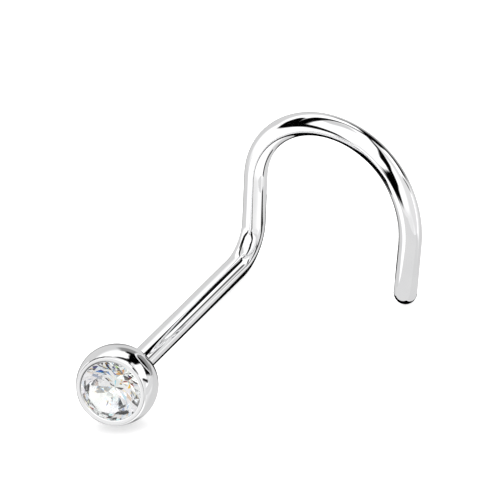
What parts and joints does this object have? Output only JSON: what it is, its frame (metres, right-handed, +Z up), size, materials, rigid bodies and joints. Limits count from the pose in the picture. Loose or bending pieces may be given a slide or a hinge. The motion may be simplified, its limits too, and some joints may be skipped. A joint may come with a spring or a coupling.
{
  "type": "nose stud",
  "caption": "Nose stud with a clear round brilliant in a polished ball setting, on a wire post bent into a screw hook.",
  "frame": {"origin": "on the surface that the stud rests on, at the middle of its bounding box seen from above", "axes": "+Z up as it lies on its ball, elbow and hook tip; +Y along the post away from the stone; the hook opens to +X"},
  "size_m": [0.0078, 0.0114, 0.0065],
  "materials": {
    "polished_steel": "mirror polished surgical steel",
    "clear_stone": "clear, faceted and polished"
  },
  "bodies": {
    "root": {"ball_setting_and_screw_wire": "polished_steel", "round_brilliant": "clear_stone"}
  },
  "joints": []
}
